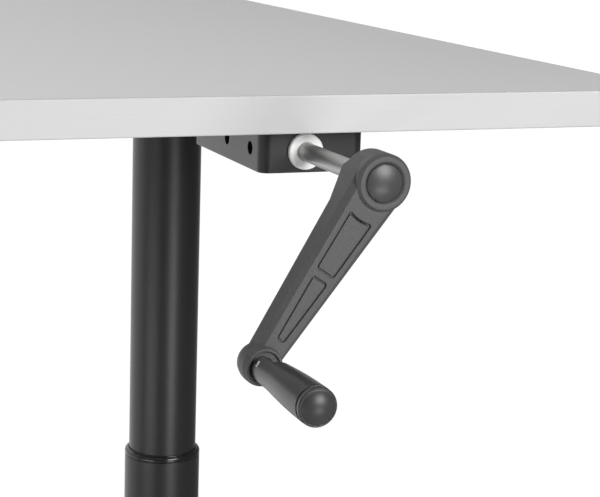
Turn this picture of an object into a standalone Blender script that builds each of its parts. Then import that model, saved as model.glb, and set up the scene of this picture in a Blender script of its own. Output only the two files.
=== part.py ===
"""Crank-operated height adjustable standing desk.

World frame in metres: +X runs along the table to its right end, +Y to its back, +Z up.
The floor is z = 0, and the origin is the middle of the whole object's footprint.
"""
import math

import bmesh
import bpy
from mathutils import Matrix, Vector

# ---------------------------------------------------------------- driving dimensions
GAP = 0.0003                      # play between two pieces that touch

TABLE_WIDTH = 1.600
TABLE_DEPTH = 0.800
TABLE_THICK = 0.022
TABLE_TOP = 0.930                 # top surface at the rest height
FRONT = -0.3155                   # the table's front edge
BAND = 0.002                      # edge band thickness
CORNER = 0.003                    # radius of the table's corners in plan

COLUMN_X = 0.600                  # the two columns stand at plus and minus this
COLUMN_Y = FRONT + TABLE_DEPTH / 2
INNER_R = 0.0272
OUTER_R = 0.0306
TUBE_WALL = 0.0020
COLLAR_R = 0.03075
COLLAR_TOP = 0.5905
COLLAR_LIP = 0.005
INNER_BOTTOM = 0.2900             # lower end of the sliding tube at the rest height

FOOT_LENGTH = 0.700
FOOT_WIDTH = 0.070
FOOT_BOTTOM = 0.015
FOOT_TOP = 0.045
FOOT_WALL = 0.0025

UNDERSIDE = TABLE_TOP - TABLE_THICK
DRIVE_Z = TABLE_TOP - 0.0346      # height of the crank shaft and the cross shaft
CRANK_X = TABLE_WIDTH / 2 - 0.2387
HEX_FLATS = 0.007                 # hexagon bar across its flats

GEAR_TEETH = 12
GEAR_R = 0.009                    # pitch radius at the large end, and its distance from the apex
GEAR_SMALL = 0.0055               # the same at the small end
GEAR_TIP = 0.0010
GEAR_ROOT = 0.0016
GEAR_HUB_R = 0.006

HUB_Y = FRONT - 0.0945            # front face of the crank's hub
HUB_R = 0.0155
HUB_DEPTH = 0.021
CAP_R = 0.0102
ARM_LENGTH = 0.1138               # hub axis to handle axis
ARM_ANGLE = math.radians(33.87)   # the arm's rest angle from straight down
ARM_BACK = 0.016                  # back of the arm behind the hub's front face
BOSS_R = 0.0123
CRANK_TUBE_R = 0.0055
PIVOT = 0.005                     # fold pin in front of the hub's front face
GRIP_TIP = 0.066                  # end of the grip's straight part from the fold pin
GRIP_R = 0.0103

BRACKET_X = (TABLE_WIDTH / 2 - 0.2658, TABLE_WIDTH / 2 - 0.2013)
BRACKET_Y = (FRONT + 0.0170, FRONT + 0.1374)
BRACKET_BOTTOM = TABLE_TOP - 0.0472
SHEET = 0.002

SCREW_R = 0.008
SCREW_NECK_R = 0.0039
SCREW_BOTTOM = 0.350
NUT_TUBE_R = 0.015
NUT_TOP = 0.600
NUT_HEIGHT = 0.030

BLACK = (0.035, 0.035, 0.037)
DARK_GREY = (0.10, 0.10, 0.10)
STEEL = (0.55, 0.55, 0.54)
ZINC = (0.42, 0.43, 0.44)
WHITE = (0.80, 0.80, 0.78)


# ---------------------------------------------------------------- modelling helpers
def clear_scene():
    for obj in list(bpy.data.objects):
        bpy.data.objects.remove(obj, do_unlink=True)


def finish(name, colour, roughness, metallic):
    """The sub-part's own material."""
    material = bpy.data.materials.new(name)
    material.use_nodes = True
    shader = material.node_tree.nodes["Principled BSDF"]
    shader.inputs["Base Color"].default_value = (*colour, 1)
    shader.inputs["Roughness"].default_value = roughness
    shader.inputs["Metallic"].default_value = metallic
    return material


def place(name, bm, look, location=(0, 0, 0), rotation=(0, 0, 0), parent=None):
    """Make a named object of a mesh, with smooth round faces and sharp edges."""
    bmesh.ops.recalc_face_normals(bm, faces=bm.faces)
    mesh = bpy.data.meshes.new(name)
    bm.to_mesh(mesh)
    bm.free()
    mesh.shade_smooth()
    mesh.set_sharp_from_angle(angle=math.radians(35))
    mesh.materials.append(finish(name, *look))
    obj = bpy.data.objects.new(name, mesh)
    obj.location = location
    obj.rotation_euler = rotation
    obj.parent = parent
    bpy.context.scene.collection.objects.link(obj)
    return obj


def pivot(name, location, rotation=(0, 0, 0), parent=None):
    """An empty on a joint's axis, which the moving pieces hang from."""
    empty = bpy.data.objects.new(name, None)
    empty.location = location
    empty.rotation_euler = rotation
    empty.parent = parent
    bpy.context.scene.collection.objects.link(empty)
    return empty


def block(low, high, bevel=0.0, axis=None, segments=4):
    """A box between two corners; bevel rounds its edges along one axis, or all of them."""
    low, high = Vector(low), Vector(high)
    bm = bmesh.new()
    bmesh.ops.create_cube(bm, size=1)
    size = high - low
    bmesh.ops.scale(bm, vec=size, verts=bm.verts)
    bmesh.ops.translate(bm, vec=(low + high) / 2, verts=bm.verts)
    if bevel:
        edges = list(bm.edges)
        if axis is not None:
            edges = [e for e in edges if abs((e.verts[0].co - e.verts[1].co)[axis]) > 0.9 * size[axis]]
        bmesh.ops.bevel(bm, geom=edges, offset=bevel, segments=segments, affect="EDGES", profile=0.5)
    return bm


def lathe(profile, steps=20, axis="Z"):
    """Turn a closed outline of (radius, height) points about Z, or about Y or X."""
    bm = bmesh.new()
    verts = [bm.verts.new((radius, 0, height)) for radius, height in profile]
    edges = [bm.edges.new((a, b)) for a, b in zip(verts, verts[1:] + verts[:1])]
    bmesh.ops.spin(bm, geom=verts + edges, cent=(0, 0, 0), axis=(0, 0, 1), angle=math.tau,
                   steps=steps, use_merge=True)
    bmesh.ops.remove_doubles(bm, verts=bm.verts, dist=1e-6)
    loose = [e for e in bm.edges if not e.link_faces]
    bmesh.ops.delete(bm, geom=loose, context="EDGES")
    turn(bm, axis)
    return bm


def turn(bm, axis):
    """Turn a shape made along Z to point along +Y or +X."""
    if axis == "Y":
        bmesh.ops.rotate(bm, verts=bm.verts, matrix=Matrix.Rotation(-math.pi / 2, 3, "X"))
    if axis == "X":
        bmesh.ops.rotate(bm, verts=bm.verts, matrix=Matrix.Rotation(math.pi / 2, 3, "Y"))


def rod(radius, start, end, axis="Z", steps=20):
    """A round bar along an axis, from start to end."""
    return lathe([(0, start), (radius, start), (radius, end), (0, end)], steps, axis)


def pipe(inner, outer, start, end, axis="Z", steps=32):
    """A round tube along an axis."""
    return lathe([(inner, start), (outer, start), (outer, end), (inner, end)], steps, axis)


def prism(outline, start, end, axis="Z"):
    """A flat outline of (x, y) points, extruded along an axis."""
    bm = bmesh.new()
    face = bm.faces.new([bm.verts.new((x, y, start)) for x, y in outline])
    side = bmesh.ops.extrude_face_region(bm, geom=[face])
    top = [v for v in side["geom"] if isinstance(v, bmesh.types.BMVert)]
    bmesh.ops.translate(bm, vec=(0, 0, end - start), verts=top)
    turn(bm, axis)
    return bm


def hexagon(flats):
    """Corner points of a hexagon of the given width across its flats."""
    radius = flats / math.sqrt(3)
    return [(radius * math.cos(math.radians(60 * i)), radius * math.sin(math.radians(60 * i)))
            for i in range(6)]


def tool(target, bm, operation, location=(0, 0, 0), rotation=(0, 0, 0), parent=None):
    """Cut a shape out of a piece, or weld it on, with a live Boolean."""
    bmesh.ops.recalc_face_normals(bm, faces=bm.faces)
    name = f"{target.name}_{operation.lower()}_{len(target.modifiers)}"
    mesh = bpy.data.meshes.new(name)
    bm.to_mesh(mesh)
    bm.free()
    guide = bpy.data.objects.new(name, mesh)
    guide.location = location
    guide.rotation_euler = rotation
    guide.parent = parent
    guide.hide_render = True
    guide.display_type = "WIRE"
    bpy.context.scene.collection.objects.link(guide)
    modifier = target.modifiers.new(operation.title(), "BOOLEAN")
    modifier.operation = operation
    modifier.solver = "EXACT"
    modifier.object = guide


def cut(target, bm, **where):
    tool(target, bm, "DIFFERENCE", **where)


def weld(target, bm, **where):
    tool(target, bm, "UNION", **where)


# ---------------------------------------------------------------- tabletop
def tabletop_screw_places():
    """Centres of the four screws that hold the front bracket."""
    return [(x, y) for x in (BRACKET_X[0] + 0.0075, BRACKET_X[1] - 0.0075)
            for y in (BRACKET_Y[0] + 0.030, BRACKET_Y[0] + 0.088)]


def build_tabletop():
    half, back = TABLE_WIDTH / 2, FRONT + TABLE_DEPTH
    inset = BAND + GAP
    core = block((-half + inset, FRONT + inset, UNDERSIDE), (half - inset, back - inset, TABLE_TOP),
                 CORNER - BAND, axis=2)
    board = place("tabletop", core, ((0.62, 0.62, 0.61), 0.55, 0.0))
    for x, y in tabletop_screw_places():
        cut(board, rod(0.0022, -0.001, 0.0155, steps=8), location=(x, y, UNDERSIDE))
    ring = block((-half, FRONT, UNDERSIDE), (half, back, TABLE_TOP), CORNER, axis=2)
    band = place("edge_band", ring, ((0.75, 0.75, 0.74), 0.35, 0.2))
    hollow = block((-half + BAND, FRONT + BAND, UNDERSIDE - 0.01), (half - BAND, back - BAND, TABLE_TOP + 0.01),
                   CORNER - BAND + GAP, axis=2)
    cut(band, hollow)


# ---------------------------------------------------------------- feet
def build_foot(side, sign):
    """A T foot of rectangular tube, with an end cap and a levelling glide at each end."""
    x, half = sign * COLUMN_X, FOOT_LENGTH / 2
    shell = block((-FOOT_WIDTH / 2, -half, FOOT_BOTTOM), (FOOT_WIDTH / 2, half, FOOT_TOP), 0.006, axis=1)
    foot = place(f"foot_{side}", shell, (BLACK, 0.4, 0.0), (x, COLUMN_Y, 0))
    inside = block((-FOOT_WIDTH / 2 + FOOT_WALL, -half - 0.01, FOOT_BOTTOM + FOOT_WALL),
                   (FOOT_WIDTH / 2 - FOOT_WALL, half + 0.01, FOOT_TOP - FOOT_WALL), 0.0035, axis=1)
    cut(foot, inside, location=(x, COLUMN_Y, 0))
    for end, way in (("front", -1), ("rear", 1)):
        glide_y = COLUMN_Y + way * (half - 0.040)
        cut(foot, rod(0.0043, FOOT_BOTTOM - 0.001, FOOT_BOTTOM + FOOT_WALL + 0.001, steps=16),
            location=(x, glide_y, 0))
        plug = block((-FOOT_WIDTH / 2, half + GAP, FOOT_BOTTOM), (FOOT_WIDTH / 2, half + 0.004, FOOT_TOP),
                     0.006, axis=1)
        cap = place(f"foot_cap_{side}_{end}", plug, (BLACK, 0.6, 0.0), (x, COLUMN_Y, 0),
                    (0, 0, 0 if way > 0 else math.pi))
        tenon = block((-FOOT_WIDTH / 2 + FOOT_WALL + GAP, half - 0.012, FOOT_BOTTOM + FOOT_WALL + GAP),
                      (FOOT_WIDTH / 2 - FOOT_WALL - GAP, half + 0.002, FOOT_TOP - FOOT_WALL - GAP),
                      0.0032, axis=1)
        weld(cap, tenon, location=(x, COLUMN_Y, 0), rotation=(0, 0, 0 if way > 0 else math.pi))
        glide = [(0, 0), (0.0150, 0), (0.0165, 0.0015), (0.0165, 0.005), (0.0120, 0.0100), (0.0070, 0.0115),
                 (0.0040, 0.0115), (0.0040, 0.0270), (0, 0.0270)]
        place(f"glide_{side}_{end}", lathe(glide, 16), ((0.05, 0.05, 0.05), 0.7, 0.0), (x, glide_y, 0))


# ---------------------------------------------------------------- columns
def build_column(side, sign):
    """Fixed outer tube with its guide collar, sliding inner tube, lift nut on its post."""
    at = (sign * COLUMN_X, COLUMN_Y, 0)
    floor = FOOT_TOP + GAP
    outer_top = COLLAR_TOP - COLLAR_LIP
    bore = OUTER_R - TUBE_WALL
    place(f"outer_tube_{side}", pipe(bore, OUTER_R, floor, outer_top - GAP, steps=40), (BLACK, 0.3, 0.0), at)
    curve = 0.0035
    arc = [(COLLAR_R - curve + curve * math.cos(a), COLLAR_TOP - curve + curve * math.sin(a))
           for a in (math.radians(d) for d in (0, 30, 60, 90))]
    sleeve = [(INNER_R + GAP, outer_top - 0.055), (bore - GAP, outer_top - 0.055), (bore - GAP, outer_top),
              (COLLAR_R, outer_top), *arc, (INNER_R + GAP, COLLAR_TOP - 0.0006)]
    place(f"guide_collar_{side}", lathe(sleeve, 40), (BLACK, 0.35, 0.0), at)
    post_top = NUT_TOP - NUT_HEIGHT
    place(f"nut_post_{side}", pipe(NUT_TUBE_R - 0.003, NUT_TUBE_R, floor, post_top - GAP, steps=20),
          (ZINC, 0.4, 1.0), at)
    nut = [(SCREW_R + GAP, post_top - 0.015), (NUT_TUBE_R - 0.003 - GAP, post_top - 0.015),
           (NUT_TUBE_R - 0.003 - GAP, post_top), (NUT_TUBE_R, post_top), (NUT_TUBE_R, NUT_TOP - 0.001),
           (NUT_TUBE_R - 0.001, NUT_TOP), (SCREW_R + GAP, NUT_TOP)]
    place(f"lift_nut_{side}", lathe(nut, 20), ((0.80, 0.78, 0.70), 0.5, 0.0), at)

    inner_top = DRIVE_Z - 0.0180
    place(f"inner_tube_{side}", pipe(INNER_R - TUBE_WALL, INNER_R, INNER_BOTTOM, inner_top, steps=40),
          (BLACK, 0.3, 0.0), at)
    spigot = INNER_R - TUBE_WALL - GAP
    guide = [(0.0215, INNER_BOTTOM - 0.010), (bore - GAP, INNER_BOTTOM - 0.010),
             (bore - GAP, INNER_BOTTOM - GAP), (spigot, INNER_BOTTOM - GAP), (spigot, INNER_BOTTOM + 0.015),
             (0.0215, INNER_BOTTOM + 0.015)]
    place(f"lower_guide_{side}", lathe(guide, 24), (WHITE, 0.5, 0.0), at)


# ---------------------------------------------------------------- upper frame
def build_gear_case(side, low_x, high_x, cavity, column_x):
    """Cast case on a column's top: gear cavity, cover, bearing seat and tube spigot."""
    half, top = 0.0295, UNDERSIDE - 0.0018
    bottom = DRIVE_Z - 0.0177
    body = block((low_x, COLUMN_Y - half, bottom), (high_x, COLUMN_Y + half, top), 0.004, axis=2)
    case = place(f"gear_case_{side}", body, (BLACK, 0.5, 0.0))
    axis = (column_x, COLUMN_Y, 0)
    weld(case, rod(INNER_R - TUBE_WALL - GAP - 0.0001, bottom - 0.0157, bottom + 0.002, steps=32), location=axis)
    cut(case, block((cavity[0], COLUMN_Y - 0.0125, DRIVE_Z - 0.0105),
                    (cavity[1], COLUMN_Y + 0.0125, top + 0.01)))
    seat, neck = 0.0113, GEAR_HUB_R + GAP
    well = [(0, bottom - 0.02), (seat, bottom - 0.02), (seat, bottom - 0.0072), (neck, bottom - 0.0072),
            (neck, DRIVE_Z - 0.008), (0, DRIVE_Z - 0.008)]
    cut(case, lathe(well), location=axis)
    cover = block((low_x, COLUMN_Y - half, top + GAP), (high_x, COLUMN_Y + half, UNDERSIDE - GAP), 0.004, axis=2)
    place(f"case_cover_{side}", cover, (ZINC, 0.4, 1.0))
    race = [(0.0042, bottom - 0.0147), (0.0110, bottom - 0.0147), (0.0110, bottom - 0.0077),
            (0.0042, bottom - 0.0077)]
    place(f"screw_bearing_{side}", lathe(race, 20), (STEEL, 0.2, 1.0), axis)
    return case


def build_upper_frame():
    right = build_gear_case("right", 0.5400, 0.6320, (0.5445, 0.6165), COLUMN_X)
    cut(right, rod(GEAR_HUB_R + GAP, COLUMN_Y - 0.040, COLUMN_Y - 0.012, "Y"), location=(CRANK_X, 0, DRIVE_Z))
    cut(right, rod(GEAR_HUB_R + GAP, 0.530, 0.550, "X"), location=(0, COLUMN_Y, DRIVE_Z))
    cut(right, rod(0.0045, 0.610, 0.628, "X"), location=(0, COLUMN_Y, DRIVE_Z))
    left = build_gear_case("left", -0.6320, -0.5700, (-0.6125, -0.5860), -COLUMN_X)
    cut(left, rod(GEAR_HUB_R + GAP, -0.625, -0.610, "X"), location=(0, COLUMN_Y, DRIVE_Z))
    cut(left, rod(0.0045, -0.590, -0.560, "X"), location=(0, COLUMN_Y, DRIVE_Z))

    # Folded channel beam, open upwards, with the cross shaft running inside it.
    top, bottom = UNDERSIDE - GAP, UNDERSIDE - 0.030
    beam = place("crossbeam", block((-0.5697, COLUMN_Y - 0.025, bottom), (0.5397, COLUMN_Y + 0.025, top),
                                    0.003, axis=0), (BLACK, 0.4, 0.0))
    cut(beam, block((-0.580, COLUMN_Y - 0.023, bottom + SHEET), (0.550, COLUMN_Y + 0.023, top + 0.01)))

    # Angle arms along the columns, which the board is screwed down to.
    for side, sign in (("right", 1), ("left", -1)):
        web = [(-0.300, 0), (0.300, 0), (0.300, -0.012), (0.100, -0.029), (-0.100, -0.029), (-0.300, -0.012)]
        x = sign * (0.6320 + GAP)
        arm = place(f"support_arm_{side}", prism([(-z, y) for y, z in web], 0, 0.003, "X"),
                    (BLACK, 0.4, 0.0), (x if sign > 0 else x - 0.003, COLUMN_Y, UNDERSIDE - GAP))
        low, high = (0.001, 0.030) if sign > 0 else (-0.027, 0.002)
        weld(arm, block((low, -0.300, -0.003), (high, 0.300, 0)),
             location=(x if sign > 0 else x - 0.003, COLUMN_Y, UNDERSIDE - GAP))


def build_bracket():
    """Folded tray under the front edge, with the two bushes that guide the crank tube."""
    (x0, x1), (y0, y1) = BRACKET_X, BRACKET_Y
    top = UNDERSIDE - GAP
    bend = 0.0065
    tray = place("front_bracket", block((x0, y0, BRACKET_BOTTOM), (x1, y1, top), bend, axis=2, segments=5),
                 (BLACK, 0.35, 0.0))
    cut(tray, block((x0 + SHEET, y0 + SHEET, BRACKET_BOTTOM + SHEET), (x1 - SHEET, y1 - SHEET, top - SHEET),
                    bend - SHEET, axis=2, segments=5))
    flange = 0.012
    cut(tray, block((x0 + SHEET + flange, y0 + SHEET, top - 0.01), (x1 - SHEET - flange, y1 - SHEET, top + 0.01)))
    cut(tray, rod(0.0080, y0 - 0.01, y1 + 0.01, "Y"), location=(CRANK_X, 0, DRIVE_Z))
    for y in (FRONT + 0.035, FRONT + 0.075):
        cut(tray, rod(0.0041, x0 - 0.01, x1 + 0.01, "X", 16), location=(0, y, DRIVE_Z))
    for number, (x, y) in enumerate(tabletop_screw_places(), 1):
        cut(tray, rod(0.0022, top - 0.006, top + 0.01, steps=8), location=(x, y, 0))
        cut(tray, rod(0.0045, BRACKET_BOTTOM - 0.01, BRACKET_BOTTOM + 0.01, steps=16), location=(x, y, 0))
        head = top - SHEET - GAP
        shape = [(0, head - 0.0024), (0.0022, head - 0.0024), (0.0038, head - 0.0010), (0.0038, head),
                 (0.0019, head), (0.0019, UNDERSIDE + 0.012), (0, UNDERSIDE + 0.015)]
        place(f"bracket_screw_{number}", lathe(shape, 12), (ZINC, 0.3, 1.0), (x, y, 0))
    bore, barrel = CRANK_TUBE_R + GAP, 0.0077
    front = [(bore, -0.0030), (0.0100, -0.0030), (0.0106, -0.0022), (0.0106, -GAP), (barrel, -GAP),
             (barrel, 0.012), (bore, 0.012)]
    place("front_bushing", lathe(front, 24, "Y"), (WHITE, 0.5, 0.0), (CRANK_X, y0, DRIVE_Z))
    rear = [(bore, -0.010), (barrel, -0.010), (barrel, GAP), (0.0106, GAP), (0.0106, 0.002), (bore, 0.002)]
    place("rear_bushing", lathe(rear, 20, "Y"), (WHITE, 0.5, 0.0), (CRANK_X, y1, DRIVE_Z))


# ---------------------------------------------------------------- gears and shafts
def bevel_gear(bore, hub_end, tooth_at):
    """Bevel gear with its apex at the origin and its body along +Z, bored through.

    Each tooth is a trapezium that shrinks towards the apex. A tooth or a gap is centred
    on the given angle.
    """
    pitch = math.tau / GEAR_TEETH
    tooth = ((-0.27, -GEAR_ROOT), (-0.11, GEAR_TIP), (0.11, GEAR_TIP), (0.27, -GEAR_ROOT))
    ring = []
    for number in range(GEAR_TEETH):
        for share, height in tooth:
            angle = tooth_at + pitch * (number + share)
            radius = GEAR_R + height
            ring.append((radius * math.cos(angle), radius * math.sin(angle)))
    bm = bmesh.new()
    loops = []
    for distance in (GEAR_SMALL, GEAR_R):
        scale = distance / GEAR_R
        loops.append([bm.verts.new((x * scale, y * scale, distance)) for x, y in ring])
    count = len(ring)
    for i in range(count):
        j = (i + 1) % count
        bm.faces.new((loops[0][i], loops[0][j], loops[1][j], loops[1][i]))
    bm.faces.new(loops[0])
    bm.faces.new(loops[1])
    return bm, rod(GEAR_HUB_R, GEAR_R - 0.001, hub_end, steps=16), bore


def place_gear(name, gear, apex, rotation):
    """Set a bevel gear at its apex, weld its hub on and bore it."""
    body, hub, bore = gear
    obj = place(name, body, (STEEL, 0.35, 1.0), apex, rotation)
    weld(obj, hub, location=apex, rotation=rotation)
    cut(obj, bore, location=apex, rotation=rotation)
    return obj


def build_drive():
    hex_bore = lambda: prism(hexagon(HEX_FLATS + 2 * GAP), 0.001, 0.040)
    half_pitch = math.pi / GEAR_TEETH
    towards_front = (math.pi / 2, 0, 0)             # the gear's body runs along -Y
    towards_left = (0, -math.pi / 2, 0)             # along -X
    downwards = (math.pi, 0, 0)                     # along -Z

    crank_apex = (CRANK_X, COLUMN_Y, DRIVE_Z)
    place_gear("crank_pinion", bevel_gear(hex_bore(), 0.028, 0), crank_apex, towards_front)
    place_gear("cross_gear_crank", bevel_gear(hex_bore(), 0.020, half_pitch), crank_apex, towards_left)
    bar = prism(hexagon(HEX_FLATS), FRONT + 0.060, COLUMN_Y - 0.0055, "Y")
    place("drive_shaft", bar, (STEEL, 0.3, 1.0), (CRANK_X, 0, DRIVE_Z))

    cross = prism(hexagon(HEX_FLATS), -0.6200, 0.6270, "X")
    place("cross_shaft", cross, (STEEL, 0.3, 1.0), (0, COLUMN_Y, DRIVE_Z))
    for side, sign in (("right", 1), ("left", -1)):
        apex = (sign * COLUMN_X, COLUMN_Y, DRIVE_Z)
        hub_end = 0.0150 if side == "right" else 0.0200
        place_gear(f"cross_gear_{side}", bevel_gear(hex_bore(), hub_end, 0), apex, towards_left)
        round_bore = rod(SCREW_NECK_R + GAP, 0.001, 0.040)
        place_gear(f"screw_gear_{side}", bevel_gear(round_bore, 0.0160, half_pitch), apex, downwards)
        shoulder = DRIVE_Z - 0.0177 - 0.0150
        screw = [(0, SCREW_BOTTOM), (SCREW_R - 0.002, SCREW_BOTTOM), (SCREW_R, SCREW_BOTTOM + 0.002),
                 (SCREW_R, shoulder), (SCREW_NECK_R, shoulder), (SCREW_NECK_R, DRIVE_Z - GEAR_SMALL),
                 (0, DRIVE_Z - GEAR_SMALL)]
        place(f"lift_screw_{side}", lathe(screw, 20), (STEEL, 0.3, 1.0), (sign * COLUMN_X, COLUMN_Y, 0))


# ---------------------------------------------------------------- crank
def build_crank():
    """Crank tube, arm, hub cap, fold-away handle.

    The crank empty stands on the shaft's axis in the hub's front face and is turned to
    the arm: the arm runs down its -Z, its width is X.
    """
    axis = pivot("crank_axis", (CRANK_X, HUB_Y, DRIVE_Z), (0, ARM_ANGLE, 0))
    tube = place("crank_tube", rod(CRANK_TUBE_R, 0.005, FRONT + 0.150 - HUB_Y, "Y"), (STEEL, 0.3, 1.0),
                 parent=axis)
    cut(tube, prism(hexagon(HEX_FLATS + 2 * GAP), 0.0, 0.30, "Y"), parent=axis,
        rotation=(0, -ARM_ANGLE, 0))

    lower = -ARM_LENGTH
    front_top, front_low = 0.0015, 0.0040
    arm = bmesh.new()
    corners = []
    for half, z, front in ((0.0150, 0.0, front_top), (0.0080, lower, front_low)):
        chamfer = 0.0030
        section = [(-half, ARM_BACK), (-half, front + chamfer), (-half + chamfer, front),
                   (half - chamfer, front), (half, front + chamfer), (half, ARM_BACK)]
        corners.append([arm.verts.new((x, y, z)) for x, y in section])
    for i in range(6):
        j = (i + 1) % 6
        arm.faces.new((corners[0][i], corners[0][j], corners[1][j], corners[1][i]))
    arm.faces.new(corners[0])
    arm.faces.new(corners[1])
    crank = place("crank_arm", arm, (DARK_GREY, 0.6, 0.0), parent=axis)
    hub = [(0, 0), (HUB_R - 0.0015, 0), (HUB_R, 0.0015), (HUB_R, HUB_DEPTH), (0, HUB_DEPTH)]
    weld(crank, lathe(hub, 32, "Y"), parent=axis)
    boss = [(0, 0.0010), (0.0098, 0.0010), (BOSS_R, 0.0050), (BOSS_R, ARM_BACK), (0, ARM_BACK)]
    weld(crank, lathe(boss, 28, "Y"), parent=axis, location=(0, 0, lower))
    cut(crank, rod(CRANK_TUBE_R + GAP, 0.0045, 0.030, "Y"), parent=axis)
    cut(crank, rod(CAP_R + GAP, -0.010, 0.0025, "Y", 32), parent=axis)
    cut(crank, rod(0.0053, -0.010, 0.030, "Y"), parent=axis, location=(0, 0, lower))

    dome = [(0, 0.0025 - GAP), (CAP_R, 0.0025 - GAP), (CAP_R, 0.0008), (CAP_R * 0.90, 0.0001),
            (CAP_R * 0.6, -0.0009), (CAP_R * 0.3, -0.0014), (0, -0.0016)]
    place("hub_cap", lathe(dome, 28, "Y"), (BLACK, 0.2, 0.0), parent=axis)

    # Spindle: turns in the lower boss, and its tongue carries the fold pin.
    spindle_axis = pivot("handle_axis", (0, 0, lower), parent=axis)
    stem = [(0, 0.0010), (0.0050, 0.0010), (0.0050, ARM_BACK + GAP), (0.0075, ARM_BACK + GAP),
            (0.0075, ARM_BACK + 0.0018), (0, ARM_BACK + 0.0018)]
    spindle = place("handle_spindle", lathe(stem, 20, "Y"), (ZINC, 0.4, 1.0), parent=spindle_axis)
    tongue_r = 0.0042
    nose = [(-tongue_r * math.cos(a), -PIVOT - tongue_r * math.sin(a))
            for a in (math.radians(d) for d in range(0, 181, 20))]
    weld(spindle, prism([(-tongue_r, 0.005), *nose, (tongue_r, 0.005)], -0.0025, 0.0025, "X"),
         parent=spindle_axis)
    cut(spindle, rod(0.0018, -0.010, 0.010, "X", 16), parent=spindle_axis, location=(0, -PIVOT, 0))

    # Grip: swings on the fold pin towards the hub. Its root is slotted for the tongue and
    # rounded and flattened on the hub side, so that it folds flat along the arm.
    fold = pivot("fold_axis", (0, -PIVOT, 0), parent=spindle_axis)
    body_end = GRIP_TIP - 0.0040
    outline = [(0, 0.0050), (0.0066, 0.0050), (0.0070, 0.0042), (0.0070, -0.006), (0.0073, -0.016),
               (0.0082, -0.028), (0.0093, -0.040), (0.0101, -0.052), (GRIP_R, -body_end), (0, -body_end)]
    grip = place("handle_grip", lathe(outline, 28, "Y"), (BLACK, 0.25, 0.0), parent=fold)
    cut(grip, block((-0.0029, -0.0048, -0.0046), (0.0029, 0.010, 0.012)), parent=fold)
    reach = 0.0052
    relief = [(0.0120, -0.0150), (0.0088, -0.0150), (reach, -0.0115), (reach, 0)]
    relief += [(reach * math.cos(a), reach * math.sin(a)) for a in (math.radians(d) for d in (22, 45, 68, 90))]
    relief += [(0, 0.0100), (0.0120, 0.0100)]
    shape = prism([(-z, y) for z, y in relief], -0.012, 0.012, "X")
    cut(grip, shape, parent=fold)
    cut(grip, rod(0.0018, -0.010, 0.010, "X", 16), parent=fold)
    cap = [(0, -body_end - GAP), (GRIP_R - 0.0003, -body_end - GAP), (GRIP_R - 0.0001, -GRIP_TIP + 0.001),
           (GRIP_R - 0.0008, -GRIP_TIP), (GRIP_R * 0.75, -GRIP_TIP - 0.0016), (GRIP_R * 0.45, -GRIP_TIP - 0.0027),
           (0, -GRIP_TIP - 0.0033)]
    place("grip_cap", lathe(cap, 28, "Y"), (BLACK, 0.3, 0.0), parent=fold)
    place("fold_pin", rod(0.0015, -0.0068, 0.0068, "X", 16), (STEEL, 0.25, 1.0), parent=fold)


clear_scene()
build_tabletop()
for name_of_side, direction in (("right", 1), ("left", -1)):
    build_foot(name_of_side, direction)
    build_column(name_of_side, direction)
build_upper_frame()
build_bracket()
build_drive()
build_crank()
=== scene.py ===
import math

import bmesh
import bpy
from mathutils import Matrix, Vector


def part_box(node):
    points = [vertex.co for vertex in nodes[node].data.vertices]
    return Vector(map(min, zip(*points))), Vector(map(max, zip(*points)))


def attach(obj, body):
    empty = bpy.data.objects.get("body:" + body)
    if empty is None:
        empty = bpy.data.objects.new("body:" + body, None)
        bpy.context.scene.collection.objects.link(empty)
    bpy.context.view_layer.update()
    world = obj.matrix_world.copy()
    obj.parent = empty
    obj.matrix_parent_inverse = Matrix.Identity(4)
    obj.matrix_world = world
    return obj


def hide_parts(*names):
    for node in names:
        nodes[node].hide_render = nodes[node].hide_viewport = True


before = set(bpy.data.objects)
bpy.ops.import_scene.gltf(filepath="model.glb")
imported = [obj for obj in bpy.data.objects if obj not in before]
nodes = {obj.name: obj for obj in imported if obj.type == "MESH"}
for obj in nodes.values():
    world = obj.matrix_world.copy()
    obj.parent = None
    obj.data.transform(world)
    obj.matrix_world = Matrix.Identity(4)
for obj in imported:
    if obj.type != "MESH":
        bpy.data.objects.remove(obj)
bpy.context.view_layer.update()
scene = bpy.context.scene


# ------------------------------------------------------------------ camera
# A long lens on a tripod just left of the crank, a little above the table. It looks down
# and to the right, and the horizon leans by two degrees.
LENS = 102.71
FRAME_WIDTH = 36.0
CAMERA_FROM_CORNER = Vector((-0.60985, -0.88816, 0.11371))   # from the board's top right front corner
YAW, PITCH, ROLL = (math.radians(degrees) for degrees in (22.24, 11.88, 1.89))

band_low, band_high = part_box("edge_band")
forward = Vector((math.sin(YAW) * math.cos(PITCH), math.cos(YAW) * math.cos(PITCH), -math.sin(PITCH)))
level = Vector((math.cos(YAW), -math.sin(YAW), 0))
upright = level.cross(forward)
camera_right = math.cos(ROLL) * level + math.sin(ROLL) * upright
camera_up = math.cos(ROLL) * upright - math.sin(ROLL) * level
camera_place = Vector((band_high.x, band_low.y, band_high.z)) + CAMERA_FROM_CORNER

camera_data = bpy.data.cameras.new("camera")
camera_data.sensor_width = FRAME_WIDTH
camera_data.lens = LENS
camera_data.clip_end = 100
camera = bpy.data.objects.new("camera", camera_data)
axes = Matrix((camera_right, camera_up, -forward)).transposed().to_4x4()
camera.matrix_world = Matrix.Translation(camera_place) @ axes
scene.collection.objects.link(camera)
scene.camera = camera
scene.view_settings.view_transform = "Standard"


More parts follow.
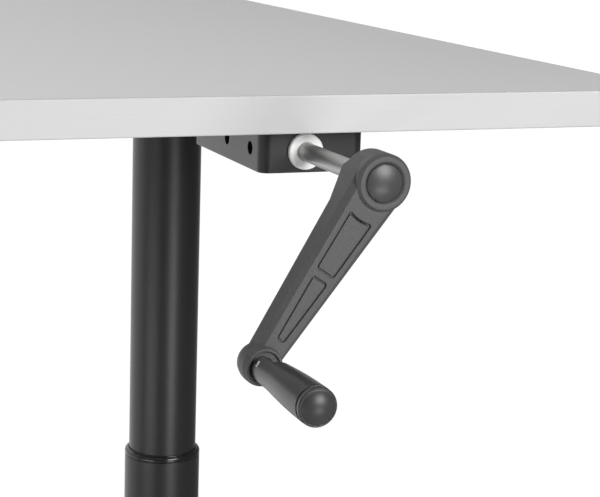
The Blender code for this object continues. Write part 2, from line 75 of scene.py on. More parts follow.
# ------------------------------------------------------------------ studio
# A pale seamless floor that fades into white, lit by a large soft key from the front
# right, a bank above and behind the desk, and a low strip to each side of the camera.
WHITE_OUT = (0.7, 1.9)                # metres from the desk where the floor fades into white
NEAR_WHITE = 0.4                      # share of plain white the floor already has under the desk
BRIGHT_WAY = Vector((-0.42, 0.90, 0.10))   # the side that gives the desk most light
SURROUND_SPREAD, SURROUND_LIGHT = (0.45, 0.95), (0.12, 1.10)
GLOW_SPREAD, GLOW_LIGHT = (-0.1, 0.8), (0.16, 1.2)   # the outer floor's light on the desk
SEEN_SURROUND, SEEN_FLOOR = 1.0, 1.02   # how bright they are to the camera itself
FLOOR_R = 40
PAPER_TONE = (0.88, 0.88, 0.88, 1)
PAPER_ROUGHNESS = 0.9
WHITE = (1, 1, 1, 1)


def toward_bright(tree, direction):
    """How far a direction points to the bright side."""
    facing = tree.nodes.new("ShaderNodeVectorMath")
    facing.operation = "DOT_PRODUCT"
    facing.inputs[1].default_value = BRIGHT_WAY
    tree.links.new(direction, facing.inputs[0])
    return facing.outputs["Value"]


def smooth_ramp(tree, value, span, outcome):
    """Eases from the first outcome to the second while a value crosses a span."""
    ramp = tree.nodes.new("ShaderNodeMapRange")
    ramp.interpolation_type = "SMOOTHSTEP"
    ramp.inputs["From Min"].default_value, ramp.inputs["From Max"].default_value = span
    ramp.inputs["To Min"].default_value, ramp.inputs["To Max"].default_value = outcome
    tree.links.new(value, ramp.inputs["Value"])
    return ramp.outputs["Result"]


def unless_seen(tree, light, to_camera):
    """A light's strength, or another value where the camera sees it directly."""
    seen = tree.nodes.new("ShaderNodeLightPath")
    strength = tree.nodes.new("ShaderNodeMix")
    strength.inputs["B"].default_value = to_camera
    tree.links.new(seen.outputs["Is Camera Ray"], strength.inputs["Factor"])
    tree.links.new(light, strength.inputs["A"])
    return strength.outputs["Result"]


world = bpy.data.worlds.new("studio")
world.use_nodes = True
scene.world = world
tree = world.node_tree
background = tree.nodes["Background"]
background.inputs["Color"].default_value = WHITE
way = tree.nodes.new("ShaderNodeTexCoord").outputs["Generated"]
surround = smooth_ramp(tree, toward_bright(tree, way), SURROUND_SPREAD, SURROUND_LIGHT)
tree.links.new(unless_seen(tree, surround, SEEN_SURROUND), background.inputs["Strength"])

floor_mesh = bpy.data.meshes.new("floor")
bm = bmesh.new()
bmesh.ops.create_circle(bm, cap_ends=True, segments=96, radius=FLOOR_R)
bm.to_mesh(floor_mesh)
bm.free()
floor = bpy.data.objects.new("floor", floor_mesh)
scene.collection.objects.link(floor)
paper = bpy.data.materials.new("seamless_paper")
paper.use_nodes = True
tree = paper.node_tree
matt = tree.nodes["Principled BSDF"]
matt.inputs["Base Color"].default_value = PAPER_TONE
matt.inputs["Roughness"].default_value = PAPER_ROUGHNESS
place = tree.nodes.new("ShaderNodeTexCoord").outputs["Object"]
distance = tree.nodes.new("ShaderNodeVectorMath")
distance.operation = "LENGTH"
share = tree.nodes.new("ShaderNodeMath")
share.operation = "DIVIDE"
glow = tree.nodes.new("ShaderNodeEmission")
glow.inputs["Color"].default_value = WHITE
both = tree.nodes.new("ShaderNodeMixShader")
tree.links.new(place, distance.inputs[0])
tree.links.new(toward_bright(tree, place), share.inputs[0])
tree.links.new(distance.outputs["Value"], share.inputs[1])
spread = smooth_ramp(tree, share.outputs["Value"], GLOW_SPREAD, GLOW_LIGHT)
tree.links.new(unless_seen(tree, spread, SEEN_FLOOR), glow.inputs["Strength"])
fade = smooth_ramp(tree, distance.outputs["Value"], WHITE_OUT, (NEAR_WHITE, 1))
tree.links.new(fade, both.inputs["Fac"])
tree.links.new(matt.outputs["BSDF"], both.inputs[1])
tree.links.new(glow.outputs["Emission"], both.inputs[2])
tree.links.new(both.outputs["Shader"], tree.nodes["Material Output"].inputs["Surface"])
floor_mesh.materials.append(paper)

# name, place, aimed at, width, height, radiance
SOFTBOXES = (
    ("key", (1.35, -2.5, 1.80), (0.5, -0.3, 0.85), 1.3, 1.1, 12.5),
    ("overhead", (-0.9, 1.3, 2.6), (-0.2, 0.1, 0.9), 2.6, 2.0, 0.98),
    ("strip_left", (-1.30, -1.05, 0.08), (0.6, 0.08, 0.35), 1.4, 0.14, 9.0),
    ("strip_right", (0.95, -2.05, 0.15), (0.6, 0.08, 0.45), 0.8, 0.26, 11.0),
)
for name, where, aim, width, height, radiance in SOFTBOXES:
    light = bpy.data.lights.new(name, "AREA")
    light.shape = "RECTANGLE"
    light.size = width
    light.size_y = height
    light.energy = radiance * math.pi * width * height
    lamp = bpy.data.objects.new(name, light)
    lamp.location = where
    lamp.rotation_euler = (Vector(aim) - Vector(where)).to_track_quat("-Z", "Y").to_euler()
    lamp.visible_camera = False
    scene.collection.objects.link(lamp)


# ------------------------------------------------------------------ board
# Chipboard faced with light grey laminate on both sides. The laminate has a fine pearl
# texture that only shows as a slight unevenness of its sheen.
MM = 0.001
BOARD_GREY = (0.88, 0.88, 0.88)


def surface_grain():
    """Shared node group: broad patches and fine grain, as masks that change over the surface."""
    group = bpy.data.node_groups.new("surface_grain", "ShaderNodeTree")
    group.interface.new_socket("Vector", in_out="INPUT", socket_type="NodeSocketVector")
    group.interface.new_socket("Patch Scale", in_out="INPUT", socket_type="NodeSocketFloat")
    group.interface.new_socket("Grain Scale", in_out="INPUT", socket_type="NodeSocketFloat")
    group.interface.new_socket("Patches", in_out="OUTPUT", socket_type="NodeSocketFloat")
    group.interface.new_socket("Grain", in_out="OUTPUT", socket_type="NodeSocketFloat")
    entry = group.nodes.new("NodeGroupInput")
    leave = group.nodes.new("NodeGroupOutput")
    for mask, detail, roughness in (("Patch", 4.0, 0.55), ("Grain", 2.0, 0.6)):
        noise = group.nodes.new("ShaderNodeTexNoise")
        noise.inputs["Detail"].default_value = detail
        noise.inputs["Roughness"].default_value = roughness
        group.links.new(entry.outputs["Vector"], noise.inputs["Vector"])
        group.links.new(entry.outputs[f"{mask} Scale"], noise.inputs["Scale"])
        group.links.new(noise.outputs["Fac"], leave.inputs["Patches" if mask == "Patch" else "Grain"])
    return group


grain_nodes = surface_grain()


def new_finish(name, colour, roughness, metallic=0.0, tint=0.06, swing=0.05, patch=14.0, grain=900.0,
               height=0.004, speckle=0.0, stretch=(1, 1, 1)):
    """A finish whose colour and gloss drift in patches, with a grain of the given height in mm.

    tint is the share by which the colour drifts, swing the same for the roughness, and
    speckle how far the grain itself shows as lighter and darker points.
    """
    material = bpy.data.materials.new(name)
    material.use_nodes = True
    tree = material.node_tree
    shader = tree.nodes["Principled BSDF"]
    shader.inputs["Metallic"].default_value = metallic
    where = tree.nodes.new("ShaderNodeTexCoord")
    turn = tree.nodes.new("ShaderNodeMapping")
    turn.inputs["Scale"].default_value = stretch
    masks = tree.nodes.new("ShaderNodeGroup")
    masks.node_tree = grain_nodes
    masks.inputs["Patch Scale"].default_value = patch
    masks.inputs["Grain Scale"].default_value = grain
    blend = tree.nodes.new("ShaderNodeMix")
    blend.data_type = "RGBA"
    dark, pale = blend.inputs[6], blend.inputs[7]
    dark.default_value = (*(channel * (1 - 2 * tint) for channel in colour), 1)
    pale.default_value = (*(channel * (1 + 2 * tint) for channel in colour), 1)
    points = tree.nodes.new("ShaderNodeMapRange")
    points.inputs["To Min"].default_value = 1 - 2 * speckle
    points.inputs["To Max"].default_value = 1 + 2 * speckle
    tone = tree.nodes.new("ShaderNodeVectorMath")
    tone.operation = "SCALE"
    gloss = tree.nodes.new("ShaderNodeMapRange")
    gloss.inputs["To Min"].default_value = roughness - 2 * swing
    gloss.inputs["To Max"].default_value = roughness + 2 * swing
    bump = tree.nodes.new("ShaderNodeBump")
    bump.inputs["Distance"].default_value = height * MM
    link = tree.links.new
    link(where.outputs["Object"], turn.inputs["Vector"])
    link(turn.outputs["Vector"], masks.inputs["Vector"])
    link(masks.outputs["Patches"], blend.inputs["Factor"])
    link(blend.outputs[2], tone.inputs[0])
    link(masks.outputs["Grain"], points.inputs["Value"])
    link(points.outputs["Result"], tone.inputs["Scale"])
    link(tone.outputs["Vector"], shader.inputs["Base Color"])
    link(masks.outputs["Patches"], gloss.inputs["Value"])
    link(gloss.outputs["Result"], shader.inputs["Roughness"])
    link(masks.outputs["Grain"], bump.inputs["Height"])
    link(bump.outputs["Normal"], shader.inputs["Normal"])
    return material


def finish_nodes(material, *names):
    """Gives CAD nodes that keep their shape a finish."""
    for name in names:
        for slot in nodes[name].material_slots:
            slot.material = material


laminate = new_finish("grey_laminate", BOARD_GREY, 0.48, tint=0.008, swing=0.03, patch=4, grain=1600,
                      height=0.006, speckle=0.012)
finish_nodes(laminate, "tabletop")


# ------------------------------------------------------------------ edge band
# Satin silver-grey plastic band, 2 mm thick, glued round the board and trimmed flush. Its
# long edges are eased with a scraper, and extrusion leaves very fine lines along it.
BAND = 2.0
BAND_CORNER = 3.0
BAND_EASE = 0.9
RIM_MARGIN = 0.3                      # edges this far outside the inner wall are on the outer rim
BAR_CORNER_STEPS = 8
ROUND_STEPS = 4
CREASE = 32                           # degrees between faces that still shade as one


def place_of(node):
    """Centre and size of a CAD node's box, in millimetres."""
    low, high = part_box(node)
    return (low + high) / 2 / MM, (high - low) / MM


def round_off(bm, chosen, offset, affect="EDGES", segments=ROUND_STEPS):
    """Rounds chosen edges or corners of a shape."""
    bmesh.ops.bevel(bm, geom=chosen, offset=offset, affect=affect, segments=segments, profile=0.5,
                    material=-1)


def extrude(bm, by):
    """Draws all of a shape's faces out into a solid."""
    drawn = bmesh.ops.extrude_face_region(bm, geom=bm.faces[:])
    bmesh.ops.translate(bm, vec=by, verts=[v for v in drawn["geom"] if isinstance(v, bmesh.types.BMVert)])


def rounded_bar(width, depth, radius, height, wall=None):
    """Upright bar of rounded rectangular section, centred on z = 0, hollow if it has a wall."""
    bm = bmesh.new()
    corners = ((-1, -1), (1, -1), (1, 1), (-1, 1))
    bm.faces.new([bm.verts.new((x * width / 2, y * depth / 2, -height / 2)) for x, y in corners])
    round_off(bm, bm.verts[:], radius, "VERTICES", BAR_CORNER_STEPS)
    if wall:
        core = bm.faces[:]
        bmesh.ops.inset_region(bm, faces=core, thickness=wall, use_even_offset=True, use_boundary=True)
        bmesh.ops.delete(bm, geom=core, context="FACES")
    extrude(bm, (0, 0, height))
    return bm


def make_piece(name, bm, material, body, slot, *stands_for, placed=None):
    """Makes a shape in millimetres a piece that rides on a body in place of its CAD nodes."""
    bmesh.ops.transform(bm, matrix=placed or Matrix(), verts=bm.verts)
    bmesh.ops.scale(bm, vec=(MM, MM, MM), verts=bm.verts)
    bmesh.ops.remove_doubles(bm, verts=bm.verts, dist=1e-7)
    bmesh.ops.recalc_face_normals(bm, faces=bm.faces)
    mesh = bpy.data.meshes.new(name)
    bm.to_mesh(mesh)
    bm.free()
    if "custom_normal" in mesh.attributes:
        mesh.attributes.remove(mesh.attributes["custom_normal"])
    mesh.shade_smooth()
    mesh.set_sharp_from_angle(angle=math.radians(CREASE))
    mesh.materials.clear()
    mesh.materials.append(material)
    piece = bpy.data.objects.new(name, mesh)
    scene.collection.objects.link(piece)
    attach(piece, body)
    if stands_for:
        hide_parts(*stands_for)
    even = piece.modifiers.new("Even shading", "WEIGHTED_NORMAL")
    even.keep_sharp = True
    return piece


silver_edge = new_finish("silver_edge", (0.64, 0.64, 0.64), 0.42, tint=0.01, swing=0.04, patch=6,
                         grain=1500, height=0.008, speckle=0.02, stretch=(0.01, 0.01, 1))
centre, size = place_of("edge_band")
strip = rounded_bar(size.x, size.y, BAND_CORNER, size.z, wall=BAND)
rim_x, rim_y = size.x / 2 - BAND + RIM_MARGIN, size.y / 2 - BAND + RIM_MARGIN
rims = [e for e in strip.edges if abs(e.verts[0].co.z - e.verts[1].co.z) < 0.1
        and all(abs(v.co.x) > rim_x or abs(v.co.y) > rim_y for v in e.verts)]
round_off(strip, rims, BAND_EASE)
make_piece("board_edge_band", strip, silver_edge, "upper_frame", "silver_edge", "edge_band",
           placed=Matrix.Translation(centre))


# ------------------------------------------------------------------ feet
# Rectangular steel tube, black powder coated, with the outer tube welded to its middle.
# A pushed-in plastic plug closes each end.
FOOT_CORNER = 6.0
FOOT_WALL = 2.5
STUD_HOLE_R = 4.3
HOLE_OVERRUN = 1
PLUG_FACE, PLUG_GAP, PLUG_ROUND = 4.0, 0.3, 1.4
TENON_LENGTH, TENON_CORNER = 12, 3.4
TENON_PLAY, TENON_SINK = 0.6, 0.4     # across the tube, and into the plug's face
BLACK_COAT = (0.0165, 0.0165, 0.017)
BEAD_LEG = 3.2
BEAD_SINK = 0.1
BEAD_FACE = (1.3, 2.0)                # the hollow of its face, out from the tube and up from the foot
BEAD_RIPPLES = 44
BEAD_RIPPLE = 0.22
SIDES = ("right", "left")
ALONG_Y = Matrix.Rotation(-math.pi / 2, 4, "X")


def turned(profile, steps=96, axis="Z", at=(0, 0, 0), fillet_steps=ROUND_STEPS):
    """Turned shape from a closed outline of (radius, height) corners, in millimetres.

    A third number on a corner is the fillet there.
    """
    bm = bmesh.new()
    corners = [bm.verts.new((corner[0], 0, corner[1])) for corner in profile]
    bm.faces.new(corners)
    fillets = [corner[2] if len(corner) > 2 else 0 for corner in profile]
    for fillet in sorted(set(fillets) - {0}):
        chosen = [v for v, own in zip(corners, fillets) if own == fillet]
        round_off(bm, chosen, fillet, "VERTICES", fillet_steps)
    bmesh.ops.delete(bm, geom=bm.faces[:], context="FACES_ONLY")
    bmesh.ops.spin(bm, geom=bm.verts[:] + bm.edges[:], cent=(0, 0, 0), axis=(0, 0, 1), angle=math.tau,
                   steps=steps, use_merge=True)
    bmesh.ops.remove_doubles(bm, verts=bm.verts, dist=1e-4)
    bmesh.ops.delete(bm, geom=[e for e in bm.edges if not e.link_faces], context="EDGES")
    if axis == "Y":
        bmesh.ops.transform(bm, matrix=ALONG_Y, verts=bm.verts)
    if axis == "X":
        bmesh.ops.rotate(bm, matrix=Matrix.Rotation(math.pi / 2, 3, "Y"), verts=bm.verts)
    bmesh.ops.translate(bm, vec=at, verts=bm.verts)
    return bm


def rod(radius, low, high, **turning):
    """Plain round bar, for cutting with."""
    return turned([(0, low), (radius, low), (radius, high), (0, high)], **turning)


def add_to(bm, other):
    """Puts another shape into the same piece."""
    mesh = bpy.data.meshes.new("added")
    other.to_mesh(mesh)
    other.free()
    bm.from_mesh(mesh)
    bpy.data.meshes.remove(mesh)


def carve(solid, *steps):
    """Joins shapes to a solid or cuts them away, in order; each step is (operation, shape)."""
    stand_ins = []
    for bm in (solid, *(shape for operation, shape in steps)):
        bmesh.ops.recalc_face_normals(bm, faces=bm.faces)
        mesh = bpy.data.meshes.new("carving")
        bm.to_mesh(mesh)
        bm.free()
        stand_ins.append(bpy.data.objects.new("carving", mesh))
        scene.collection.objects.link(stand_ins[-1])
    for (operation, _), stand_in in zip(steps, stand_ins[1:]):
        boolean = stand_ins[0].modifiers.new(operation, "BOOLEAN")
        boolean.operation = operation
        boolean.solver = "EXACT"
        boolean.object = stand_in
    bpy.context.view_layer.update()
    carved = bmesh.new()
    carved.from_object(stand_ins[0], bpy.context.evaluated_depsgraph_get())
    for stand_in in stand_ins:
        bpy.data.objects.remove(stand_in)
    bmesh.ops.remove_doubles(carved, verts=carved.verts, dist=1e-3)
    return carved


powder_coat = new_finish("black_powder_coat", BLACK_COAT, 0.36, tint=0.10, swing=0.03, patch=9, grain=620,
                         height=0.010)
black_plastic = new_finish("black_plastic", (0.012, 0.012, 0.012), 0.42, tint=0.10, grain=1800, height=0.006)
for side in SIDES:
    centre, size = place_of(f"foot_{side}")
    beam = rounded_bar(size.x, size.z, FOOT_CORNER, size.y, wall=FOOT_WALL)
    inside, outside = size.z / 2 - FOOT_WALL - HOLE_OVERRUN, size.z / 2 + HOLE_OVERRUN
    holes = []
    for end in ("front", "rear"):
        along = place_of(f"glide_{side}_{end}")[0].y - centre.y
        hole = rod(STUD_HOLE_R, inside, outside, steps=32, axis="Y", at=(0, 0, along))
        holes.append(("DIFFERENCE", hole))
    beam = carve(beam, *holes)
    make_piece(f"foot_tube_{side}", beam, powder_coat, "base", "black_powder_coat", f"foot_{side}",
               placed=Matrix.Translation(centre) @ ALONG_Y)
    for end, way in (("front", -1), ("rear", 1)):
        plug = rounded_bar(size.x, size.z, FOOT_CORNER, PLUG_FACE - PLUG_GAP)
        outer = [e for e in plug.edges if all(v.co.z * way > 0 for v in e.verts)]
        round_off(plug, outer, PLUG_ROUND)
        bore = 2 * FOOT_WALL + TENON_PLAY
        tenon = rounded_bar(size.x - bore, size.z - bore, TENON_CORNER, TENON_LENGTH)
        inward = TENON_LENGTH / 2 + PLUG_FACE / 2 - TENON_SINK
        bmesh.ops.translate(tenon, vec=(0, 0, -way * inward), verts=tenon.verts)
        add_to(plug, tenon)
        face = centre + Vector((0, way * (size.y + PLUG_FACE + PLUG_GAP) / 2, 0))
        make_piece(f"foot_plug_{side}_{end}", plug, black_plastic, "base", "black_plastic",
                   f"foot_cap_{side}_{end}", placed=Matrix.Translation(face) @ ALONG_Y)
    tube_centre, tube_size = place_of(f"outer_tube_{side}")
    radius, base = tube_size.x / 2, tube_centre.z - tube_size.z / 2
    bead = turned([(radius, base - BEAD_SINK), (radius + BEAD_LEG, base - BEAD_SINK, 0.3),
                   (radius + BEAD_FACE[0], base + BEAD_FACE[1], 1.2), (radius, base + BEAD_LEG, 0.2)],
                  steps=4 * BEAD_RIPPLES)
    for v in bead.verts:
        reach = math.hypot(v.co.x, v.co.y) - radius
        ripple = BEAD_RIPPLE * math.cos(BEAD_RIPPLES * math.atan2(v.co.y, v.co.x)) * min(1, max(0, reach))
        v.co.xy += v.co.xy.normalized() * ripple
    make_piece(f"foot_weld_{side}", bead, powder_coat, "base", "black_powder_coat",
               placed=Matrix.Translation((tube_centre.x, tube_centre.y, 0)))


# ------------------------------------------------------------------ levelling glides
# Hard rubber pad moulded on a zinc-plated M8 stud that screws up into the foot, so that the
# desk stands level. Each turns in its own foot.
STUD_R = 4.0
STUD_PITCH = 1.25
STUD_FOOT, THREAD_START = 9.2, 9.8    # heights above the floor
UNTHREADED = 10.5
THREAD_DEPTH, THREAD_FLANK, THREAD_CREST = 0.7, 0.5, 0.7
PAD_RING_R = 9.8                      # the pad stands on the ring outside this radius
PAD_TOP, SOCKET_FLOOR, SOCKET_R = 11.5, 9, 4.3
ZINC = (0.52, 0.53, 0.54)

rubber = new_finish("black_rubber", (0.016, 0.016, 0.016), 0.62, tint=0.12, swing=0.06, patch=60, grain=2400,
                    height=0.020)
zinc = new_finish("zinc_plated_steel", ZINC, 0.34, metallic=1.0, tint=0.05, swing=0.08, patch=90, grain=1800,
                  height=0.004)
for side in SIDES:
    for end in ("front", "rear"):
        centre, size = place_of(f"glide_{side}_{end}")
        rim = size.x / 2
        at = (centre.x, centre.y, 0)
        pad = turned([(0, 0.5), (9, 0.5, 0.3), (PAD_RING_R, 0, 0.3), (rim - 1.2, 0, 0.8), (rim, 1.5, 1.0),
                      (rim, 5, 0.8), (rim - 4.5, 10, 1.5), (7, PAD_TOP, 0.8), (SOCKET_R, PAD_TOP, 0.3),
                      (SOCKET_R, SOCKET_FLOOR), (0, SOCKET_FLOOR)], at=at)
        make_piece(f"glide_pad_{side}_{end}", pad, rubber, f"glide_{side}_{end}", "black_rubber",
                   f"glide_{side}_{end}")
        ridges = [(0, STUD_FOOT)]
        for turn in range(int((size.z - UNTHREADED) / STUD_PITCH)):
            height = THREAD_START + turn * STUD_PITCH
            ridges += [(STUD_R - THREAD_DEPTH, height), (STUD_R, height + THREAD_FLANK),
                       (STUD_R, height + THREAD_CREST)]
        ridges += [(STUD_R - THREAD_DEPTH, size.z - 0.5), (STUD_R - 1.1, size.z), (0, size.z)]
        make_piece(f"glide_stud_{side}_{end}", turned(ridges, steps=40, at=at), zinc, f"glide_{side}_{end}",
                   "zinc_plated_steel")


# ------------------------------------------------------------------ columns
# Two telescoping steel tubes a side, black powder coated. The outer one stands on the foot
# and ends in a moulded guide collar, and the inner one carries the table and slides in it.
TUBE_WALL = 2.0
TUBE_EDGE = 0.3
TUBE_STEPS = 128
COLLAR_LIP = 5.0                      # height of the lip that sits on the outer tube's end
COLLAR_BORE, COLLAR_SLEEVE = 3.25, 2.45   # how far inside the lip the bore and the sleeve are
COLLAR_RING = 0.6

collar_plastic = new_finish("collar_black_plastic", (0.011, 0.011, 0.011), 0.17, tint=0.10, swing=0.02,
                            patch=30, grain=1200, height=0.003)
for side in SIDES:
    for part, body in (("outer_tube", "base"), ("inner_tube", "upper_frame")):
        centre, size = place_of(f"{part}_{side}")
        radius, low, high = size.x / 2, centre.z - size.z / 2, centre.z + size.z / 2
        wall = [(radius - TUBE_WALL, low, TUBE_EDGE), (radius, low, TUBE_EDGE), (radius, high, TUBE_EDGE),
                (radius - TUBE_WALL, high, TUBE_EDGE)]
        tube = turned(wall, steps=TUBE_STEPS, at=(centre.x, centre.y, 0))
        make_piece(f"column_{part}_{side}", tube, powder_coat, body, "black_powder_coat",
                   f"{part}_{side}")
    centre, size = place_of(f"guide_collar_{side}")
    lip, low, high = size.x / 2, centre.z - size.z / 2, centre.z + size.z / 2
    seat, bore, sleeve = high - COLLAR_LIP, lip - COLLAR_BORE, lip - COLLAR_SLEEVE
    profile = [(bore, low, 0.3), (sleeve, low, 0.3), (sleeve, seat), (lip, seat, 0.3),
               (lip, high - COLLAR_RING, 2.5), (bore + 1.05, high - COLLAR_RING, 0.2),
               (bore + 0.8, high, 0.3), (bore, high, 0.3)]
    collar = turned(profile, steps=TUBE_STEPS, at=(centre.x, centre.y, 0), fillet_steps=6)
    make_piece(f"column_collar_{side}", collar, collar_plastic, "base", "black_plastic",
               f"guide_collar_{side}")
white_plastic = new_finish("white_plastic", (0.88, 0.88, 0.87), 0.40, tint=0.02, patch=40, grain=2000,
                           height=0.005)
finish_nodes(white_plastic, "lower_guide_right", "lower_guide_left")


# ------------------------------------------------------------------ gear cases, beam and arms
# Die-cast cases hold the bevel gears on top of the columns. A folded channel beam joins
# them, and angle arms carry the board. All are black powder coated.
SHEET = 2.0
BEAM_BEND = 3.0
BEAM_TRIM = 0.5                       # the bar is cut this far below its middle, and its lower part kept
ARM_SCREWS = (-255.0, -90.0, 90.0, 255.0)
ARM_SCREW_OUT, ARM_SCREW_LENGTH = 3, 2.8
FLANGE, FLANGE_GAP = 3.0, 0.05
HEAD_R = 3.8
HEAD_HEIGHT = 2.4
SHANK_R = 1.9
CROSS = (0.9, 4.2, 1.3)               # width, span and depth of the cross recess


def cad_copy(node):
    """A CAD node's own shape with its loose triangles joined up, in millimetres."""
    bm = bmesh.new()
    bm.from_mesh(nodes[node].data)
    bmesh.ops.scale(bm, vec=(1 / MM,) * 3, verts=bm.verts)
    bmesh.ops.remove_doubles(bm, verts=bm.verts, dist=0.002)
    bmesh.ops.dissolve_limit(bm, angle_limit=math.radians(0.5), verts=bm.verts, edges=bm.edges,
                             use_dissolve_boundaries=False)
    return bm


def ease_edges(piece, width, segments=2):
    """Rounds all of a piece's sharp edges by a width in millimetres."""
    bevel = piece.modifiers.new("Eased edges", "BEVEL")
    bevel.width = width * MM
    bevel.segments = segments
    bevel.limit_method = "ANGLE"
    bevel.angle_limit = math.radians(35)
    bevel.harden_normals = True
    piece.modifiers.move(len(piece.modifiers) - 1, 0)


def box(low, high):
    """A plain block between two corners, for cutting with."""
    low, high = Vector(low), Vector(high)
    bm = bmesh.new()
    bmesh.ops.create_cube(bm, size=1)
    bmesh.ops.scale(bm, vec=high - low, verts=bm.verts)
    bmesh.ops.translate(bm, vec=(low + high) / 2, verts=bm.verts)
    return bm


def pan_screw(name, x, y, seat, length, *stands_for):
    """Cross-recessed pan head screw under a flange, driven upwards."""
    low = seat - HEAD_HEIGHT
    width, span, depth = CROSS
    screw = turned([(0, low), (HEAD_R - 1.0, low, 0.5), (HEAD_R, low + 1.4, 0.7), (HEAD_R, seat, 0.2),
                    (SHANK_R, seat), (SHANK_R, seat + length, 0.6), (0, seat + length)], steps=48)
    bars = [("DIFFERENCE", box((-a / 2, -b / 2, low - 1), (a / 2, b / 2, low + depth)))
            for a, b in ((width, span), (span, width))]
    make_piece(name, carve(screw, *bars), zinc, "upper_frame", "zinc_plated_steel", *stands_for,
               placed=Matrix.Translation((x, y, 0)))


for side in SIDES:
    case = make_piece(f"gear_casting_{side}", cad_copy(f"gear_case_{side}"), powder_coat, "upper_frame",
                      "black_powder_coat", f"gear_case_{side}")
    ease_edges(case, 0.5)
    arm = make_piece(f"angle_arm_{side}", cad_copy(f"support_arm_{side}"), powder_coat, "upper_frame",
                     "black_powder_coat", f"support_arm_{side}")
    ease_edges(arm, 0.6, segments=3)
    centre, size = place_of(f"support_arm_{side}")
    way = 1 if side == "right" else -1
    for number, y in enumerate(ARM_SCREWS, 1):
        pan_screw(f"arm_screw_{side}_{number}", centre.x + way * ARM_SCREW_OUT, centre.y + y,
                  centre.z + size.z / 2 - FLANGE - FLANGE_GAP, ARM_SCREW_LENGTH)
finish_nodes(zinc, "case_cover_right", "case_cover_left", "nut_post_right", "nut_post_left")

centre, size = place_of("crossbeam")
channel = rounded_bar(2 * (size.z + BEAM_TRIM), size.y, BEAM_BEND, size.x, wall=SHEET)
bmesh.ops.rotate(channel, matrix=Matrix.Rotation(math.pi / 2, 3, "Y"), verts=channel.verts)
bmesh.ops.bisect_plane(channel, geom=channel.verts[:] + channel.edges[:] + channel.faces[:],
                       plane_co=(0, 0, -BEAM_TRIM), plane_no=(0, 0, 1), clear_outer=True)
bmesh.ops.holes_fill(channel, edges=[e for e in channel.edges if e.is_boundary])
beam = make_piece("channel_beam", channel, powder_coat, "upper_frame", "black_powder_coat", "crossbeam",
                  placed=Matrix.Translation(centre + Vector((0, 0, size.z / 2 + BEAM_TRIM))))
ease_edges(beam, 0.25)


# ------------------------------------------------------------------ crank bracket
# Tray folded from 2 mm sheet, black powder coated, screwed up under the front of the board
# by its inner flanges. Its lower edges are folded round.
TRAY_BEND = 0.9
TRAY_TALL = 12.0                      # only walls taller than this meet the floor in a folded edge
BRACKET_SCREW_LENGTH = 15

tray = cad_copy("front_bracket")
low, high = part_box("front_bracket")
floor_z = low.z / MM
outer = [e for e in tray.edges
         if all(abs(v.co.z - floor_z) < 0.01 for v in e.verts)
         and any(max(v.co.z for v in f.verts) - floor_z > TRAY_TALL for f in e.link_faces)]
round_off(tray, outer, TRAY_BEND)
make_piece("crank_bracket", tray, powder_coat, "upper_frame", "black_powder_coat", "front_bracket")
for number in range(1, 5):
    centre, size = place_of(f"bracket_screw_{number}")
    pan_screw(f"bracket_screw_{number}_head", centre.x, centre.y, centre.z - size.z / 2 + HEAD_HEIGHT,
              BRACKET_SCREW_LENGTH, f"bracket_screw_{number}")


# ------------------------------------------------------------------ bushings
# White acetal bushes pressed into the bracket's front and rear walls. The crank's steel
# tube turns and slides in them, and the front flange keeps it off the sheet's edge.
BUSH_BORE, BUSH_FLANGE, BUSH_BARREL = 5.6, 10.6, 7.7   # radii
BUSH_TRIM = 0.3                       # taken off the back of the flange
BUSHES = (("front", -1, 3.0, 14.8), ("rear", 1, 2.0, 12.0))   # flange before that, whole length

axis_place, tube_size = place_of("crank_tube")
for end, way, flange, inner in BUSHES:
    low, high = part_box(f"{end}_bushing")
    seat = (low.y if way < 0 else high.y) / MM
    bush = turned([(BUSH_BORE, 0, 0.15), (BUSH_FLANGE, 0, 1.0), (BUSH_FLANGE, flange - BUSH_TRIM, 0.2),
                   (BUSH_BARREL, flange - BUSH_TRIM), (BUSH_BARREL, inner, 0.4), (BUSH_BORE, inner, 0.3)],
                  fillet_steps=5)
    if way > 0:
        bmesh.ops.scale(bush, vec=(1, 1, -1), verts=bush.verts)
    make_piece(f"{end}_bush", bush, white_plastic, "upper_frame", "white_plastic", f"{end}_bushing",
               placed=Matrix.Translation((axis_place.x, seat, axis_place.z)) @ ALONG_Y)


# ------------------------------------------------------------------ drive train
# A hexagon bar from the crank and a second one across the desk turn bevel gears in the
# cases, which turn a lift screw in each column. Bars and screws are bright, gears blued.
STEEL = (0.36, 0.36, 0.355)

bright_steel = new_finish("bright_steel", STEEL, 0.36, metallic=1.0, tint=0.03, swing=0.03, patch=40,
                          grain=1800, height=0.003)
gear_steel = new_finish("gear_steel", (0.24, 0.24, 0.25), 0.40, metallic=1.0, tint=0.12, swing=0.08,
                        patch=120, grain=1500, height=0.006)
nylon = new_finish("natural_nylon", (0.72, 0.69, 0.60), 0.45, tint=0.03, patch=50, grain=1600, height=0.006)
finish_nodes(bright_steel, "drive_shaft", "cross_shaft", "lift_screw_right", "lift_screw_left",
             "screw_bearing_right", "screw_bearing_left")
finish_nodes(gear_steel, "crank_pinion", "cross_gear_crank", "cross_gear_right", "cross_gear_left",
             "screw_gear_right", "screw_gear_left")
finish_nodes(nylon, "lift_nut_right", "lift_nut_left")


# ------------------------------------------------------------------ crank tube
# Ground steel tube with a hexagon hole, pressed into the crank's hub. It carries the crank
# in the bushes and slides back over the hexagon bar to tuck the crank in.
HEX_HOLE = 7.6                        # across the flats
HEX_OVERRUN = 1.2

